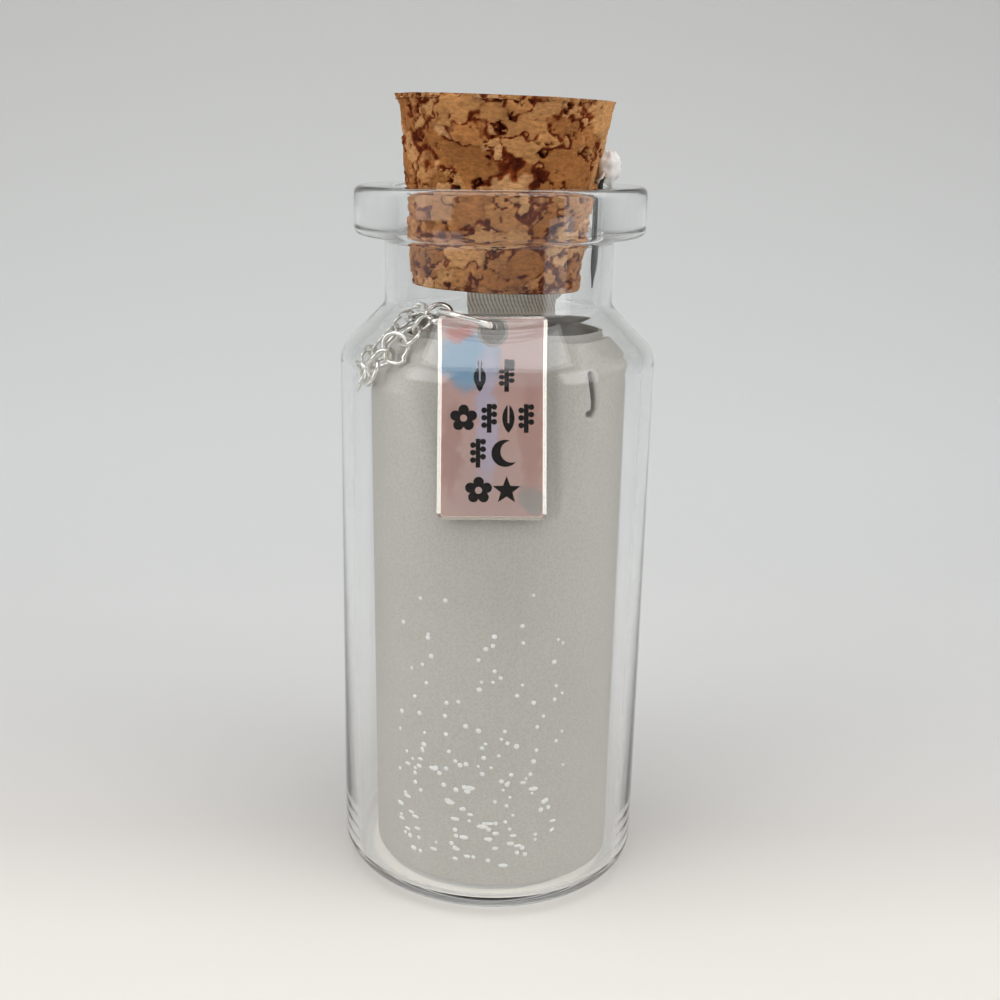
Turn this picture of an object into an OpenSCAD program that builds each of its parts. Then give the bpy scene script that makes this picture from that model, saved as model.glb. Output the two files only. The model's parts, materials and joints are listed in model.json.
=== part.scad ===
// Message bottle necklace: a corked glass vial that holds a rolled paper,
// a woven tape, and a silver tag on its jump ring and fine cable chain.
// Millimetres. The vial stands on z = 0 with its axis on Z, and -Y is the front.

/* [Bottle] */
// Height of the glass, floor to mouth
bottle_h = 50; // [49:0.5:54]
// Outer diameter of the body
body_d = 22; // [21.8:0.1:24]
// Thickness of the glass tube, in body, shoulder and neck
wall = 0.85; // [0.7:0.05:1]
// Thickness of the glass floor above the surface it stands on
floor_t = 1.2; // [1:0.1:1.6]
// Outer radius of the bend between body and base
heel_r = 2; // [1.5:0.1:2.5]
// Rise of the hollow under the base
punt = 0.5; // [0.2:0.05:0.7]
// Outer diameter of the neck
neck_d = 15.8; // [15.6:0.1:16.4]
// Length of the straight neck, shoulder to lip
neck_h = 4.7; // [4:0.1:5]
// Outer diameter of the lip
lip_d = 20; // [18.5:0.1:21]
// Height of the lip
lip_h = 3.3; // [2.5:0.1:3.6]

/* [Cork] */
// Length of the cork
cork_len = 12.6; // [10:0.1:14]
// Depth of the cork below the mouth
cork_in = 6.8; // [5:0.1:7.2]
// Diameter of the top
cork_top_d = 15; // [14:0.1:16]
// Diameter level with the mouth, as squeezed by the neck
cork_mouth_d = 13.2; // [12.6:0.1:13.4]
// Diameter of the bottom
cork_bottom_d = 11.9; // [11:0.1:12.2]
// Lean of the cork to the right, in degrees
cork_tilt = 2; // [0:0.1:2.2]

/* [Paper roll] */
// Distance from the foot of the neck down to the outer edge of the paper
paper_drop = 2.25; // [2.2:0.05:2.6]
// Thickness of the paper
paper_t = 0.25; // [0.2:0.01:0.3]
// Room between the roll and the glass
roll_room = 1.15; // [1.1:0.05:1.4]
// Room between the outer turn and the inner one
turn_room = 2.75; // [2.4:0.05:3]
// How far the top of the roll reaches out beyond the bore of the neck
rim_reach = 0.65; // [0.4:0.05:0.7]
// How far the chain presses the rim in at the front left
chain_dent = 0.95; // [0.8:0.05:1.1]
// Height that the top of the sheet gains from its outer end to its inner one
sheet_rise = 0.6; // [0.4:0.05:0.7]

/* [Tape] */
// Width of the woven tape
tape_w = 7.2; // [6.6:0.1:7.5]
// Thickness of the woven tape
tape_t = 0.25; // [0.2:0.01:0.28]
// Height of the tape's outer end above the mouth
tape_out = 2.3; // [1.8:0.1:2.8]
// Length of tape below the cork, behind the roll
tape_tail = 10; // [8:0.5:14]

/* [Tag] */
// Width of the tag
tag_w = 7.05; // [6.6:0.05:7.2]
// Height of the tag
tag_h = 13.3; // [12.8:0.1:13.6]
// Thickness of the tag
tag_t = 0.7; // [0.5:0.05:0.75]
// Lean of the tag's top away from the front, in degrees
tag_lean = 16; // [15:0.5:17]
// Diameter of the hole
tag_hole_d = 1.6; // [1.4:0.05:1.7]
// Depth of the punched marks
punch_depth = 0.15; // [0.05:0.01:0.25]

/* [Jump ring and chain] */
// Outer diameter of the jump ring
ring_d = 4.3; // [4.2:0.05:4.4]
// Wire of the jump ring
ring_wire = 0.5; // [0.4:0.05:0.55]
// Outer diameter of a chain link
link_d = 2; // [1.95:0.01:2.05]
// Wire of a chain link
link_wire = 0.3; // [0.26:0.01:0.32]
// Length of the whole necklace chain
chain_len = 400; // [380:1:410]
// Outer diameter of the clasp ring
clasp_d = 4.5; // [4.2:0.1:4.6]
// Wire of the clasp ring
clasp_wire = 1.1; // [1:0.05:1.2]

/* [Hidden] */
$fn = 48;

// Clearance between loose pieces inside the glass
gap = 0.1;

function arc(c, r, a0, a1, n = 8) =
    [for (i = [0:n]) c + r * [cos(a0 + (a1 - a0) * i / n), sin(a0 + (a1 - a0) * i / n)]];
function ease(t) = let (c = min(1, max(0, t))) c * c * (3 - 2 * c);
function mix(a, b, t) = a + (b - a) * t;
function unit(v) = v / norm(v);

// Joins rings of points, all with the same count, into one closed solid
module skin(rings) {
    n = len(rings[0]);
    last = len(rings) - 1;
    polyhedron(
        points = [for (ring = rings) each ring],
        faces = concat(
            [[for (k = [0:n - 1]) k]],
            [for (i = [0:last - 1], k = [0:n - 1])
                [i * n + k, (i + 1) * n + k, (i + 1) * n + (k + 1) % n, i * n + (k + 1) % n]],
            [[for (k = [n - 1:-1:0]) last * n + k]]));
}

// Glass: the shoulder is a 45 degree cone between two blends
body_r = body_d / 2;
inner_r = body_r - wall;
neck_r = neck_d / 2;
bore_r = neck_r - wall;
lip_r = lip_d / 2;
lip_z = bottle_h - lip_h;
neck_z = lip_z - neck_h;
body_z = neck_z - (body_r - neck_r);
shoulder_r = 2.2;
throat_r = 0.9;
lip_edge_r = 0.5;
lip_fillet_r = 0.5;
mouth_edge_r = 0.6;
inner_heel_r = 0.65;
foot_r = body_r - heel_r - 0.8;
half_turn = tan(22.5);

function glass_profile() = let (
        punt_r = (foot_r * foot_r + punt * punt) / (2 * punt),
        shoulder_c = [body_r - shoulder_r, body_z - shoulder_r * half_turn],
        throat_c = [neck_r + throat_r, neck_z + throat_r * half_turn])
    concat(
        arc([0, punt - punt_r], punt_r, 90, 90 - asin(foot_r / punt_r), 4),
        arc([body_r - heel_r, heel_r], heel_r, -90, 0),
        arc(shoulder_c, shoulder_r, 0, 45),
        arc(throat_c, throat_r, 225, 180),
        arc([neck_r + lip_fillet_r, lip_z - lip_fillet_r], lip_fillet_r, 180, 90, 5),
        arc([lip_r - lip_edge_r, lip_z + lip_edge_r], lip_edge_r, -90, 0, 5),
        arc([lip_r - lip_edge_r, bottle_h - lip_edge_r], lip_edge_r, 0, 90, 5),
        arc([bore_r + mouth_edge_r, bottle_h - mouth_edge_r], mouth_edge_r, 90, 180, 5),
        arc(throat_c, throat_r + wall, 180, 225),
        arc(shoulder_c, shoulder_r - wall, 45, 0),
        arc([inner_r - inner_heel_r, floor_t + inner_heel_r], inner_heel_r, 0, -90, 6),
        [[0, floor_t]]);

module bottle() {
    color([0.85, 0.9, 0.92, 0.35]) rotate_extrude($fn = 96) polygon(glass_profile());
}

// Cork: a tapered plug, squeezed where it enters the mouth and pushed forward by the tape
cork_y = -0.15;

module cork() {
    color("peru") translate([0, cork_y, bottle_h]) rotate([0, cork_tilt, 0])
        rotate_extrude($fn = 64) polygon([
            [0, -cork_in],
            [cork_bottom_d / 2, -cork_in],
            [cork_mouth_d / 2, 0],
            [cork_top_d / 2, cork_len - cork_in],
            [0, cork_len - cork_in]]);
}

// Tag: stands in front of the roll with its top leaning back into the shoulder
tag_x = -0.59;
tag_drop = 0.31;
tag_z = neck_z - tag_drop - tag_h * cos(tag_lean);
tag_corner_r = 0.5;
tag_bevel = 0.25;
tag_hole_drop = 1.15;
tag_y = -sqrt(pow(inner_r - gap, 2) - pow(tag_w / 2 + abs(tag_x), 2));
// Where the back of the tag is at a height, kept clear by the paper behind it
function behind_tag(z) =
    tag_y + (z - tag_z) * tan(tag_lean) + tag_t / cos(tag_lean) + gap;

// Places a flat shape on the front face of the tag, measured from its bottom middle
module on_tag() {
    translate([tag_x, tag_y, tag_z]) rotate([90 - tag_lean, 0, 0]) children();
}
module tag_outline(inset) {
    r = tag_corner_r - inset;
    x = tag_w / 2 - tag_corner_r;
    hull() for (cx = [-x, x], cy = [tag_corner_r, tag_h - tag_corner_r])
        translate([cx, cy]) circle(r);
}

// Punched marks: small flowers, stems, leaves and the like, drawn one unit high
mark_h = tag_h / 7;
module stem_mark() {
    translate([-0.08, -0.5]) square([0.16, 1]);
    for (i = [0:2], s = [-1, 1])
        translate([s * 0.17, (i - 0.7) * 0.26 + 0.06 * s]) circle(0.1, $fn = 16);
}
module leaf_mark() {
    difference() {
        intersection() {
            translate([-0.5, 0]) circle(0.71);
            translate([0.5, 0]) circle(0.71);
        }
        translate([-0.03, -0.16]) square([0.06, 1]);
    }
}
module flower_mark() {
    difference() {
        union() {
            for (a = [90:72:378]) rotate(a) translate([0.29, 0]) circle(0.18, $fn = 20);
            circle(0.24, $fn = 20);
        }
        circle(0.12, $fn = 16);
    }
}
module star_mark() {
    polygon([for (i = [0:9]) (i % 2 == 0 ? 0.5 : 0.21) * [cos(90 + i * 36), sin(90 + i * 36)]]);
}
module moon_mark() {
    difference() {
        circle(0.47);
        translate([0.22, 0.06]) circle(0.38);
    }
}
// Rows of marks: share of the height below the top, then share of the width off the
// middle, and kind, of each mark
mark_rows = [
    [0.293, [-0.116, "leaf"], [0.131, "stem"]],
    [0.496, [-0.262, "flower"], [-0.028, "stem"], [0.149, "leaf"], [0.312, "stem"]],
    [0.669, [-0.128, "stem"], [0.121, "moon"]],
    [0.853, [-0.121, "flower"], [0.135, "star"]]];
module mark(kind) {
    if (kind == "stem") stem_mark();
    if (kind == "leaf") leaf_mark();
    if (kind == "flower") flower_mark();
    if (kind == "star") star_mark();
    if (kind == "moon") moon_mark();
}

module tag() {
    color("silver") on_tag() difference() {
        hull() {
            translate([0, 0, -tag_t]) linear_extrude(tag_t - tag_bevel / 2) tag_outline(0);
            translate([0, 0, -tag_t / 2]) linear_extrude(tag_t / 2) tag_outline(tag_bevel);
        }
        translate([0, tag_h - tag_hole_drop, -1.5 * tag_t])
            cylinder(d = tag_hole_d, h = 2 * tag_t, $fn = 32);
        for (row = mark_rows, i = [1:len(row) - 1])
            translate([row[i][0] * tag_w, (1 - row[0]) * tag_h, -punch_depth])
                linear_extrude(2 * punch_depth) scale([mark_h, mark_h]) mark(row[i][1]);
    }
}

// Paper: one sheet, rolled clockwise from its free edge at the right into a smaller
// inner turn. Its top is drawn in under the shoulder, pressed in by the chain, and
// pressed flat behind the tag. The roll leans a little to the left.
roll_r = inner_r - roll_room;
core_r = roll_r - paper_t - turn_room;
rim_r = bore_r + rim_reach;
paper_z = floor_t + gap;
paper_h = neck_z - paper_drop - paper_z;
roll_foot = [0.35, 0.4];
roll_head = [0.1, 0.05];
free_edge = -12;
outer_turn = 300;
turn_in = 160;
sheet_turn = 640;
sheet_step = 5;
crimp_h = 1.75;
dent_turn = 145;
dent_half = 80;
dent_h = 3.4;
beside_tag = 0.7;
level_shares = [0, 0.3, 0.6, 0.8, 0.9, 0.93, 0.952, 0.965, 0.98, 0.99, 1];

function inward(a) = ease((a - outer_turn) / turn_in);
// How far a share of a height is up the top part of the sheet
function up_top(z, h) = min(1, max(0, (z - paper_z - paper_h) / h + 1));
function dent(a, z) =
    chain_dent * ease(1.4 * (1 - abs(a - dent_turn) / dent_half)) * ease(1.6 * up_top(z, dent_h));
function roll_at(z) = mix(roll_foot, roll_head, (z - paper_z) / paper_h);
function sheet_r(a, z) = let (
        outer = mix(roll_r, rim_r, pow(up_top(z, crimp_h), 1.5)) - dent(a, z))
    mix(outer, core_r, inward(a)) - paper_t / 2;
// Where the back of the tag keeps the sheet; right of the tag the sheet comes forward
function flat_at(x, z) = behind_tag(z) - max(0, x - tag_x - tag_w / 2 - beside_tag);
function sheet_point(a, share, side) = let (
        z = mix(paper_z, paper_z + paper_h + sheet_rise * a / sheet_turn, share),
        r = sheet_r(a, z) - side * paper_t / 2,
        middle = roll_at(z),
        x = middle[0] + r * cos(free_edge - a),
        flat = a > 360 ? behind_tag(z) + paper_t + gap : flat_at(x, z))
    [x, max(middle[1] + r * sin(free_edge - a), flat + (1 + side) * paper_t / 2), z];

module paper_roll() {
    levels = len(level_shares) - 1;
    color("whitesmoke") skin([for (a = [0:sheet_step:sheet_turn]) concat(
        [for (j = [0:levels]) sheet_point(a, level_shares[j], -1)],
        [for (j = [levels:-1:0]) sheet_point(a, level_shares[j], 1)])]);
}

// Tape: from outside the mouth, aslant down between cork and glass, out under the
// shoulder, and down behind the roll. It lies on the glass all the way.
tape_off = gap + tape_t / 2;
tape_bore_r = bore_r - tape_off;
throat_c_r = neck_r + throat_r;
throat_c_z = neck_z + throat_r * half_turn;
throat_tape_r = throat_r + wall + tape_off;
shoulder_c_r = body_r - shoulder_r;
shoulder_c_z = body_z - shoulder_r * half_turn;
shoulder_tape_r = shoulder_r - wall - tape_off;
throat_end_z = throat_c_z - throat_tape_r * sin(45);
shoulder_top_z = shoulder_c_z + shoulder_tape_r * sin(45);
lean_out = 0.65;
// Distance of the middle of the tape from the axis at a height
function tape_r(z) =
    z > throat_c_z ? tape_bore_r + lean_out * max(0, z - bottle_h - mouth_edge_r / 2)
    : z > throat_end_z ? throat_c_r - sqrt(pow(throat_tape_r, 2) - pow(throat_c_z - z, 2))
    : z > shoulder_top_z ? throat_c_r - throat_tape_r * cos(45) + throat_end_z - z
    : z > shoulder_c_z ? shoulder_c_r + sqrt(pow(shoulder_tape_r, 2) - pow(z - shoulder_c_z, 2))
    : inner_r - tape_off;
// Each row: height, bearing, and slant of the cut across the tape
tape_rows = [
    [bottle_h + tape_out, 26, 0],
    [bottle_h + tape_out / 2, 28, 3],
    [bottle_h + mouth_edge_r / 2, 31, 10],
    [bottle_h - mouth_edge_r, 34, 18],
    [bottle_h - 0.2 * cork_in, 38, 25],
    [bottle_h - 0.4 * cork_in, 45, 31],
    [bottle_h - 0.6 * cork_in, 53, 33],
    [bottle_h - 0.8 * cork_in, 63, 31],
    [bottle_h - cork_in, 72, 22],
    [throat_c_z, 76, 10],
    [mix(throat_c_z, throat_end_z, 0.33), 77, 5],
    [mix(throat_c_z, throat_end_z, 0.67), 78, 2],
    [throat_end_z, 78, 0],
    [shoulder_top_z, 78, 0],
    [mix(shoulder_top_z, shoulder_c_z, 0.5), 78, 0],
    [shoulder_c_z, 78, 0],
    [bottle_h - cork_in - tape_tail, 78, 0]];
tape_cuts = 10;
function tape_ring(row) = [for (side = [-1, 1], k = [0:tape_cuts]) let (
        u = side * (k / tape_cuts - 0.5) * tape_w,
        z = row[0] + u * sin(row[2]),
        bearing = row[1] + u * cos(row[2]) / tape_r(z) * 180 / PI,
        r = tape_r(z) - side * tape_t / 2)
    [r * cos(bearing), r * sin(bearing), z]];

module tape() {
    color("ivory") skin([for (row = tape_rows) tape_ring(row)]);
}

// Jump ring: through the hole of the tag, over its top edge, and through the first link
ring_r = (ring_d - ring_wire) / 2;
hole_up = tag_h - tag_hole_drop;
hole_middle = [
    tag_x,
    tag_y + hole_up * sin(tag_lean) + tag_t / 2 * cos(tag_lean),
    tag_z + hole_up * cos(tag_lean) - tag_t / 2 * sin(tag_lean)];
ring_middle = hole_middle + ring_r * [-0.819, 0.528, 0.383];
ring_turn = [-10.4, 22.4, 0];

module jump_ring() {
    color("silver") translate(ring_middle) rotate(ring_turn)
        rotate_extrude() translate([ring_r, 0]) circle(d = ring_wire, $fn = 20);
}

// Chain: middles of the links from the jump ring over the paper's edge and round the left
link_points = [
    [-4.02, -3.87, 41.61], [-5.01, -4.15, 40.87], [-5.92, -4.46, 40.08],
    [-6.86, -4.37, 39.33], [-7.83, -4.17, 38.53], [-8.52, -3.57, 37.66],
    [-9.08, -2.5, 37.32], [-9.45, -1.41, 36.8], [-9.49, -0.17, 36.9],
    [-9.48, 1.05, 37.04], [-9.14, 1.97, 37.77], [-8.49, 2.75, 38.41],
    [-7.79, 2.56, 39.37], [-6.93, 2.68, 40.25], [-5.88, 2.69, 40.93],
    [-4.98, 1.88, 40.64], [-4, 1.52, 39.92]];
// Turn of each link about the chain, in degrees
link_turns = [135, 38, 162, 106, 12, 119, 60, 113, 63, 115, 68, 136, 26, 147, 38, 161, 66];

module chain_link() {
    rotate_extrude($fn = 32) translate([(link_d - link_wire) / 2, 0])
        circle(d = link_wire, $fn = 16);
}
module chain_front() {
    last = len(link_points) - 1;
    color("silver") for (i = [0:last]) let (
            way = unit(link_points[min(i + 1, last)] - link_points[max(i - 1, 0)]))
        translate(link_points[i])
            rotate([link_turns[i], -asin(way[2]), atan2(way[1], way[0])]) chain_link();
}

// The rest of the chain is a tube: down into the roll, coiled, and back up its middle
coil_r = core_r - paper_t - 1.5 * gap - link_d / 2;
coil_pitch = link_d + 0.15;
coil_z = paper_z + link_d / 2 + 0.2;
coil_steps = 6;
way_in = [[-3.5, 1.3, 38.6], [-3.6, 1.1, 36], [-3.9, 0.8, 32]];
way_out = [[-1.1, 0.4, 3.9], [-1.1, 0.4, 16], [-1.1, 0.4, 26], [-1.5, -0.7, 31],
           [-1.9, -2, 36], [-2.2, -2.4, 38], [-2.4, -2.6, 39.3]];
function length_of(p) = len(p) < 2 ? 0
    : [for (i = 1, s = norm(p[1] - p[0]); i < len(p); i = i + 1,
        s = i < len(p) ? s + norm(p[i] - p[i - 1]) : s) s][len(p) - 2];
coil_len = chain_len - length_of(link_points) - length_of(way_in) - length_of(way_out);
coil_turns = coil_len / norm([2 * PI * coil_r, coil_pitch]);
function coil_point(t) = let (
        z = coil_z + coil_pitch * (coil_turns - t),
        middle = roll_at(z))
    [middle[0] + coil_r * cos(180 + 360 * t), middle[1] + coil_r * sin(180 + 360 * t), z];
coil = [for (i = [0:floor(coil_turns * coil_steps)]) coil_point(i / coil_steps)];

// A round tube along points, with its sides carried round each bend
function tube_rings(p, d, sides = 8) = let (
        last = len(p) - 1,
        ways = [for (i = [0:last]) unit(p[min(i + 1, last)] - p[max(i - 1, 0)])],
        first = unit(cross(ways[0], [0.3, 1, 0.2])),
        outs = [for (i = 0, v = first; i <= last; i = i + 1,
            v = i <= last ? unit(v - (v * ways[i]) * ways[i]) : v) v])
    [for (i = [0:last]) [for (k = [0:sides - 1])
        p[i] + d / 2 * (outs[i] * cos(360 * k / sides)
                        + cross(ways[i], outs[i]) * sin(360 * k / sides))]];

module chain_back() {
    color("silver") {
        skin(tube_rings(concat(way_in, coil), link_d));
        skin(tube_rings(way_out, link_d));
    }
}

// Clasp ring: lies on the glass floor inside the coil
module clasp() {
    color("silver") translate([roll_foot[0], roll_foot[1], paper_z + clasp_wire / 2])
        rotate_extrude() translate([(clasp_d - clasp_wire) / 2, 0])
            circle(d = clasp_wire, $fn = 20);
}

bottle();
cork();
paper_roll();
tape();
tag();
jump_ring();
chain_front();
chain_back();
clasp();
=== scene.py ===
"""Message bottle necklace: glass vial, cork, paper roll, woven tape, silver tag and chain.

Run as a script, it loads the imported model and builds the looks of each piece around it.
Sizes in the functions are millimetres in the model's frame. MM turns them into metres.
"""

import json
import math

import bmesh
import bpy
import numpy as np
from bpy.props import FloatProperty, FloatVectorProperty, IntProperty, PointerProperty
from bpy.types import Operator, Panel, PropertyGroup
from mathutils import Matrix, Vector

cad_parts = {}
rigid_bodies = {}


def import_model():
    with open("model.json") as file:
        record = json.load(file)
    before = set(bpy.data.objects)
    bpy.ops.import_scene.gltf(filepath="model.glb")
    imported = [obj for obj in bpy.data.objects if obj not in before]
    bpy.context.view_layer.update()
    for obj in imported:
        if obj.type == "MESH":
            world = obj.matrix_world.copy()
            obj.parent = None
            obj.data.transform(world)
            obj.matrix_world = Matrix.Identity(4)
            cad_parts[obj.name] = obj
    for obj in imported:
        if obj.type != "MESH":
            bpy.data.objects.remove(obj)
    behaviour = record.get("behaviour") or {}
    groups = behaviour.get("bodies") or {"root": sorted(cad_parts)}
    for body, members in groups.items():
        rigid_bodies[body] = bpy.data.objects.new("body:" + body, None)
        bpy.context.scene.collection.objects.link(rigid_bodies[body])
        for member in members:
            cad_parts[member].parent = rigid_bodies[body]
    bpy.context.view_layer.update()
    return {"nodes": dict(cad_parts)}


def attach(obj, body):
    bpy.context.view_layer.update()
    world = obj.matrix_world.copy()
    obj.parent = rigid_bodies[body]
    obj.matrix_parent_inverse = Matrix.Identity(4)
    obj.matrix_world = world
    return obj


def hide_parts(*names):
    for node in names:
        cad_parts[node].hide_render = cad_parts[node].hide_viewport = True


bl_info = {
    "name": "Message Bottle Necklace",
    "version": (1, 0, 0),
    "blender": (4, 5, 0),
    "location": "3D View > Sidebar > Vial",
    "description": "Builds a corked glass vial with a paper roll and a tag necklace in it",
    "category": "Object",
}

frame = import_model()

MM = 0.001
RNG_SEED = 7
# Clearance between pieces that lie against each other
GAP = 0.1
MULTIPLY = {"data_type": "RGBA", "blend_type": "MULTIPLY"}


def linear(hex_colour):
    """A #rrggbb sRGB colour as the linear red, green and blue that Blender works in."""
    parts = [int(hex_colour[i:i + 2], 16) / 255 for i in (1, 3, 5)]
    return tuple(c / 12.92 if c <= 0.04045 else ((c + 0.055) / 1.055) ** 2.4 for c in parts)


def add(tree, kind, inputs=None, links=None, stops=(), **settings):
    """Adds a shader node with its own settings, socket values, links and colour stops.

    A stop is a place and a colour: a hex, a grey, or a linear red, green and blue."""
    made = tree.nodes.new("ShaderNode" + kind)
    for key, value in settings.items():
        setattr(made, key, value)
    for key, value in (inputs or {}).items():
        made.inputs[key].default_value = value
    for key, source in (links or {}).items():
        tree.links.new(source, made.inputs[key])
    for i, (place, colour) in enumerate(stops):
        if i > 1:
            made.color_ramp.elements.new(place)
        if isinstance(colour, str):
            colour = linear(colour)
        elif isinstance(colour, float):
            colour = (colour,) * 3
        made.color_ramp.elements[i].position = place
        made.color_ramp.elements[i].color = (*colour, 1)
    return made


def toned(tree, colour, *patterns):
    """The colour, multiplied by the tones of each pattern: its source, share and stops."""
    for source, share, stops in patterns:
        tone = add(tree, "ValToRGB", links={0: source}, stops=stops)
        mixed = add(tree, "Mix", {0: share}, {7: tone.outputs[0]}, **MULTIPLY)
        if isinstance(colour, tuple):
            mixed.inputs[6].default_value = (*colour, 1)
        else:
            tree.links.new(colour, mixed.inputs[6])
        colour = mixed.outputs[2]
    return colour


def blank(name, **sockets):
    """A new material with a Principled shader, and its uniform values on its own sockets."""
    material = bpy.data.materials.new(name)
    material.use_nodes = True
    shader = material.node_tree.nodes["Principled BSDF"]
    for key, value in sockets.items():
        key = key.replace("_", " ")
        shader.inputs[key].default_value = (*value, 1) if isinstance(value, tuple) else value
    return material, material.node_tree, shader


def mesh_piece(name, points, faces, material, slot, body="vial", layers=None):
    """A smooth mesh object made from millimetre points, riding on a body of the frame."""
    mesh = bpy.data.meshes.new(name)
    mesh.from_pydata((np.asarray(points, float) * MM).tolist(), [], [list(f) for f in faces])
    for key, values in (layers or {}).items():
        layer = mesh.attributes.new(key, "FLOAT", "POINT")
        layer.data.foreach_set("value", np.asarray(values, np.float32))
    mesh.validate()
    tidy = bmesh.new()
    tidy.from_mesh(mesh)
    bmesh.ops.recalc_face_normals(tidy, faces=tidy.faces)
    tidy.to_mesh(mesh)
    tidy.free()
    for polygon in mesh.polygons:
        polygon.use_smooth = True
    mesh.materials.append(material)
    piece = bpy.data.objects.new(name, mesh)
    bpy.context.scene.collection.objects.link(piece)
    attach(piece, body)
    return piece


def refinish(node, material):
    """Gives a node of the model its finished material."""
    materials = frame["nodes"][node].data.materials
    materials.clear()
    materials.append(material)


def arc(centre, radius, start, end, steps):
    """Points round part of a circle, from one angle to another in degrees."""
    turns = np.radians(np.linspace(start, end, steps + 1))
    return np.c_[centre[0] + radius * np.cos(turns), centre[1] + radius * np.sin(turns)]


def ease(t):
    """A soft step: 0 up to t = 0, and 1 from t = 1."""
    t = np.clip(t, 0, 1)
    return t * t * (3 - 2 * t)


def rise(values, start, reach):
    """A straight step: 0 up to the start, and 1 from a reach beyond it."""
    return np.clip((values - start) / reach, 0, 1)


def lumps(points, size, rng, count=160):
    """Soft random bumps between 0 and 1, each about one size across."""
    waves = rng.normal(0, 2 / size, (count, 3))
    phases = rng.uniform(0, 2 * math.pi, count)
    total = sum(np.cos(points @ wave + phase) for wave, phase in zip(waves, phases))
    return 0.5 + 0.5 * np.tanh(total * 1.2 / math.sqrt(count))


def grid_faces(rows, columns, wrap_rows=False, wrap_columns=False):
    """Quads over a grid of points, closed round either way if asked."""
    faces = []
    for i in range(rows if wrap_rows else rows - 1):
        for j in range(columns if wrap_columns else columns - 1):
            k, l = (i + 1) % rows, (j + 1) % columns
            faces.append((i * columns + j, k * columns + j, k * columns + l, i * columns + l))
    return faces


def both_sides(front, back):
    """Rows that run along a sheet's front and return along its back."""
    return np.concatenate([front, back[:, ::-1]], 1)


def sheet_faces(rows, width):
    """Faces of a closed sheet, whose rows have width points on each side."""
    count = 2 * width
    faces = grid_faces(rows, count, wrap_columns=True)
    for end in (0, (rows - 1) * count):
        faces += [(end + j, end + j + 1, end + count - 2 - j, end + count - 1 - j)
                  for j in range(width - 1)]
    return faces


def lathe(profile, segments):
    """Points and faces of a profile turned about Z. Its ends on the axis are single points."""
    points, rings = [], []
    for r, z in profile:
        count = 1 if r < 1e-6 else segments
        rings.append((len(points), count))
        turns = np.arange(count) * 2 * math.pi / count
        points += np.c_[r * np.cos(turns), r * np.sin(turns), np.full(count, z)].tolist()
    faces = []
    for (a, na), (b, nb) in zip(rings, rings[1:]):
        for k in range(segments):
            ring = [a + k % na, a + (k + 1) % na, b + (k + 1) % nb, b + k % nb]
            faces.append([v for i, v in enumerate(ring) if v not in ring[:i]])
    return np.array(points), faces


# Glass vial

BODY_R, NECK_R, LIP_R, HEIGHT, WALL, FLOOR = 11.0, 7.9, 10.0, 50.0, 0.85, 1.2
LIP_Z, NECK_Z, BODY_Z = 46.7, 42.0, 38.9
FOOT_R, FOOT_HOLLOW, FOOT_ROUND, FLOOR_ROUND = 8.2, 0.5, 2.0, 0.65
SHOULDER_ROUND, THROAT_ROUND, LIP_ROUND, MOUTH_ROUND = 2.2, 0.9, 0.5, 0.6
BORE_R, INNER_R = NECK_R - WALL, BODY_R - WALL
HALF_TURN = math.tan(math.radians(22.5))
# Middles of the curves of the throat and the shoulder: distance from the axis, and height
THROAT_C = (NECK_R + THROAT_ROUND, NECK_Z + THROAT_ROUND * HALF_TURN)
SHOULDER_C = (BODY_R - SHOULDER_ROUND, BODY_Z - SHOULDER_ROUND * HALF_TURN)


def glass_profile():
    """The same wall as the model's: foot, body, shoulder, neck, lip, and back down inside."""
    hollow_r = (FOOT_R ** 2 + FOOT_HOLLOW ** 2) / (2 * FOOT_HOLLOW)
    hollow_end = 90 - math.degrees(math.asin(FOOT_R / hollow_r))
    return np.vstack([
        arc((0, FOOT_HOLLOW - hollow_r), hollow_r, 90, hollow_end, 8),
        arc((BODY_R - FOOT_ROUND, FOOT_ROUND), FOOT_ROUND, -90, 0, 16),
        arc(SHOULDER_C, SHOULDER_ROUND, 0, 45, 12),
        arc(THROAT_C, THROAT_ROUND, 225, 180, 10),
        arc((NECK_R + LIP_ROUND, LIP_Z - LIP_ROUND), LIP_ROUND, 180, 90, 8),
        arc((LIP_R - LIP_ROUND, LIP_Z + LIP_ROUND), LIP_ROUND, -90, 0, 10),
        arc((LIP_R - LIP_ROUND, HEIGHT - LIP_ROUND), LIP_ROUND, 0, 90, 10),
        arc((BORE_R + MOUTH_ROUND, HEIGHT - MOUTH_ROUND), MOUTH_ROUND, 90, 180, 10),
        arc(THROAT_C, THROAT_ROUND + WALL, 180, 225, 12),
        arc(SHOULDER_C, SHOULDER_ROUND - WALL, 45, 0, 12),
        arc((INNER_R - FLOOR_ROUND, FLOOR + FLOOR_ROUND), FLOOR_ROUND, 0, -90, 8),
        [[0, FLOOR]],
    ])


def clear_glass(tint):
    """Soda-lime glass drawn as tube and flame-worked: clear, with a cold grey edge.

    Light falls through it onto the pieces inside, a little dimmed."""
    material, tree, shader = blank(
        "Drawn Soda-Lime Glass", Base_Color=tint, Roughness=0.0, IOR=1.5,
        Transmission_Weight=1.0)
    output = tree.nodes["Material Output"]
    shadow_side = add(tree, "LightPath").outputs["Is Shadow Ray"]
    through = add(tree, "BsdfTransparent", {"Color": (*linear("#f7f8f8"), 1)})
    mixed = add(tree, "MixShader", links={
        0: shadow_side, 1: shader.outputs[0], 2: through.outputs[0]})
    tree.links.new(mixed.outputs[0], output.inputs["Surface"])
    return material


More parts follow.
